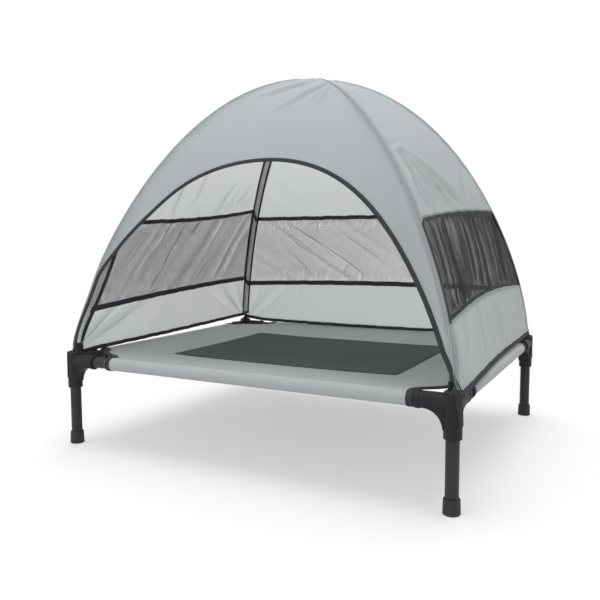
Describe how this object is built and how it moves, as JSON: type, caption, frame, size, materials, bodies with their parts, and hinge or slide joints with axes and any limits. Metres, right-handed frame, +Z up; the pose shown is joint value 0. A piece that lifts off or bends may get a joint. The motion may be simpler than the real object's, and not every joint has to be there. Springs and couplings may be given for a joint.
{
  "type": "elevated pet cot with canopy",
  "caption": "Raised pet cot: fabric bed on a steel tube frame with moulded corners and short legs, under a dome canopy on crossed poles, with mesh side windows and an open front arch.",
  "frame": {"origin": "centre of the cot's plan on the floor, at the bottom of the feet", "axes": "+X to the right when the door is faced, along the longer side; +Y from the door to the back; +Z up"},
  "size_m": [0.9538, 0.7874, 0.8821],
  "materials": {
    "powder_coated_steel": "satin dark grey powder coat",
    "black_moulded_plastic": "fine moulded grain",
    "foot_plastic": "plain matt",
    "grey_bed_fabric": "plain weave",
    "dark_bed_panel": "coated mesh weave",
    "light_canopy_fabric": "thin coated cloth",
    "window_mesh": "open net",
    "black_tape": "ribbed tape",
    "pole_fibreglass": "smooth",
    "ferrule_metal": "plain"
  },
  "bodies": {
    "frame": {"corner_connector_front_left": "black_moulded_plastic", "corner_connector_front_right": "black_moulded_plastic", "corner_connector_rear_left": "black_moulded_plastic", "corner_connector_rear_right": "black_moulded_plastic", "front_rail": "powder_coated_steel", "rear_rail": "powder_coated_steel", "left_rail": "powder_coated_steel", "right_rail": "powder_coated_steel", "bed_sheet": "grey_bed_fabric", "bed_centre_panel": "dark_bed_panel"},
    "canopy": {"canopy_front_panel": "light_canopy_fabric", "door_arch_tape": "black_tape", "canopy_left_upper": "light_canopy_fabric", "canopy_left_window": "window_mesh", "canopy_left_lower": "light_canopy_fabric", "canopy_left_top_tape": "black_tape", "canopy_left_low_tape": "black_tape", "canopy_left_hem_tape": "black_tape", "canopy_right_upper": "light_canopy_fabric", "canopy_right_window": "window_mesh", "canopy_right_lower": "light_canopy_fabric", "canopy_right_top_tape": "black_tape", "canopy_right_low_tape": "black_tape", "canopy_right_hem_tape": "black_tape", "canopy_rear_upper": "light_canopy_fabric", "canopy_rear_window": "window_mesh", "canopy_rear_lower": "light_canopy_fabric", "canopy_rear_top_tape": "black_tape", "canopy_rear_low_tape": "black_tape", "canopy_rear_hem_tape": "black_tape", "pole_sleeve_front_left": "light_canopy_fabric", "pole_tip_front_left": "black_moulded_plastic", "corner_strap_front_left": "black_tape", "pole_sleeve_front_right": "light_canopy_fabric", "pole_tip_front_right": "black_moulded_plastic", "corner_strap_front_right": "black_tape", "pole_sleeve_rear_left": "light_canopy_fabric", "pole_tip_rear_left": "black_moulded_plastic", "corner_strap_rear_left": "black_tape", "pole_sleeve_rear_right": "light_canopy_fabric", "pole_tip_rear_right": "black_moulded_plastic", "corner_strap_rear_right": "black_tape", "upper_pole_front_left": "pole_fibreglass", "upper_pole_middle": "pole_fibreglass", "upper_pole_rear_right": "pole_fibreglass", "upper_pole_ferrule_front_left": "ferrule_metal", "upper_pole_ferrule_rear_right": "ferrule_metal", "lower_pole_front_right": "pole_fibreglass", "lower_pole_middle": "pole_fibreglass", "lower_pole_rear_left": "pole_fibreglass", "lower_pole_ferrule_front_right": "ferrule_metal", "lower_pole_ferrule_rear_left": "ferrule_metal"},
    "front_left_leg": {"leg_front_left": "powder_coated_steel", "foot_cap_front_left": "foot_plastic"},
    "front_right_leg": {"leg_front_right": "powder_coated_steel", "foot_cap_front_right": "foot_plastic"},
    "rear_left_leg": {"leg_rear_left": "powder_coated_steel", "foot_cap_rear_left": "foot_plastic"},
    "rear_right_leg": {"leg_rear_right": "powder_coated_steel", "foot_cap_rear_right": "foot_plastic"}
  },
  "joints": [
    {"name": "canopy_lift", "type": "slide", "parent": "frame", "child": "canopy", "axis": [0, 0, 1], "range_m": [0, 0.1]},
    {"name": "front_left_leg_pull", "type": "slide", "parent": "frame", "child": "front_left_leg", "axis": [0, 0, -1], "range_m": [0, 0.06]},
    {"name": "front_right_leg_pull", "type": "slide", "parent": "frame", "child": "front_right_leg", "axis": [0, 0, -1], "range_m": [0, 0.06]},
    {"name": "rear_left_leg_pull", "type": "slide", "parent": "frame", "child": "rear_left_leg", "axis": [0, 0, -1], "range_m": [0, 0.06]},
    {"name": "rear_right_leg_pull", "type": "slide", "parent": "frame", "child": "rear_right_leg", "axis": [0, 0, -1], "range_m": [0, 0.06]}
  ]
}
